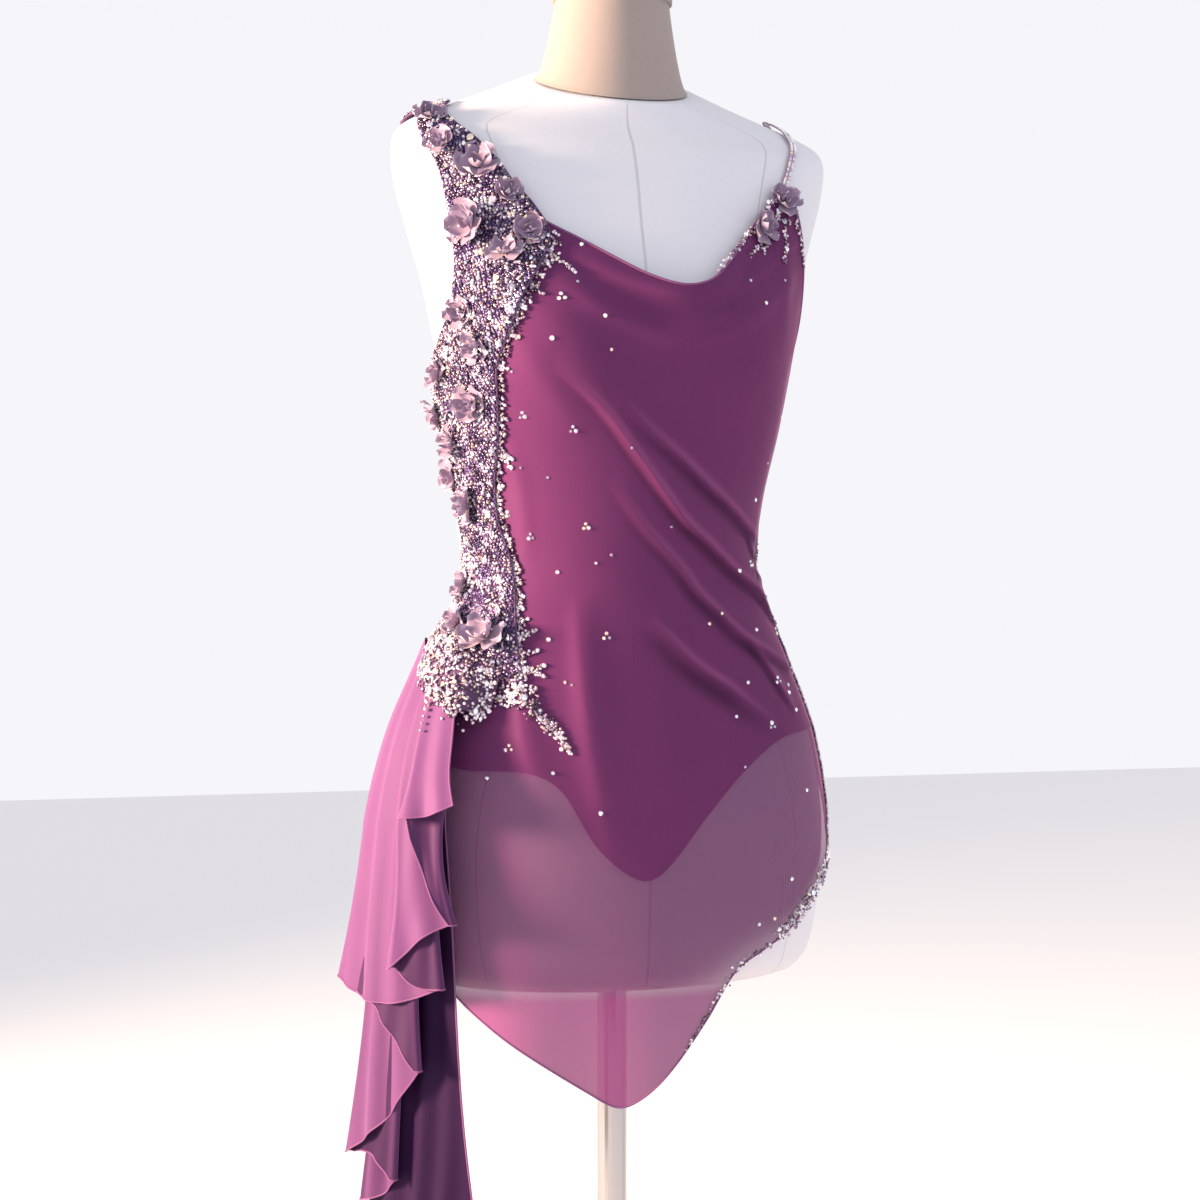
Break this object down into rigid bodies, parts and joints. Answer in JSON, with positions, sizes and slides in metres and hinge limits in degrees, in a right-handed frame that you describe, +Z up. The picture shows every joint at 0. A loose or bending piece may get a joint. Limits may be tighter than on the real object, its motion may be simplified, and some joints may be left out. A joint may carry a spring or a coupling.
{
  "type": "lyrical dance dress on a dress form",
  "caption": "Lyrical dance dress with cowl neck, pointed hem, beaded side band, fabric flowers and a waterfall drape at the hip, worn by a limbless dress form on a short stand.",
  "frame": {"origin": "centre of the underside of the stand's round base, on the floor", "axes": "+Z up, the front of the dress faces -Y, and the wearer's left is towards +X"},
  "size_m": [0.4213, 0.33, 1.1663],
  "materials": {
    "linen_cover": "smooth off-white linen",
    "linen_neck": "cream linen",
    "steel": "satin",
    "beech": "oiled",
    "leotard_jersey": "matte stretch jersey",
    "stretch_mesh": "fine sheer stretch mesh with a soft sheen",
    "beaded_band": "mesh covered with beads and sequins",
    "beaded_strap": "close rows of glass beads",
    "elastic": "matte elastic",
    "organza": "dusty mauve organza with crisp edges"
  },
  "bodies": {
    "root": {"form_torso": "linen_cover", "form_neck": "linen_neck", "form_neck_cap": "linen_neck", "stand_base": "beech", "stand_collar": "steel", "stand_pole": "steel", "lining_front": "leotard_jersey", "lining_back": "leotard_jersey", "mesh_front": "stretch_mesh", "mesh_skirt_back": "stretch_mesh", "side_band": "beaded_band", "left_strap": "beaded_strap", "right_back_strap": "elastic", "waterfall": "stretch_mesh", "flower_01": "organza", "flower_02": "organza", "flower_03": "organza", "flower_04": "organza", "flower_05": "organza", "flower_06": "organza", "flower_07": "organza", "flower_08": "organza", "flower_09": "organza", "flower_10": "organza", "flower_11": "organza", "flower_12": "organza", "flower_13": "organza", "flower_14": "organza", "flower_15": "organza", "flower_16": "organza", "flower_17": "organza", "flower_18": "organza", "flower_19": "organza", "flower_20": "organza"}
  },
  "joints": []
}
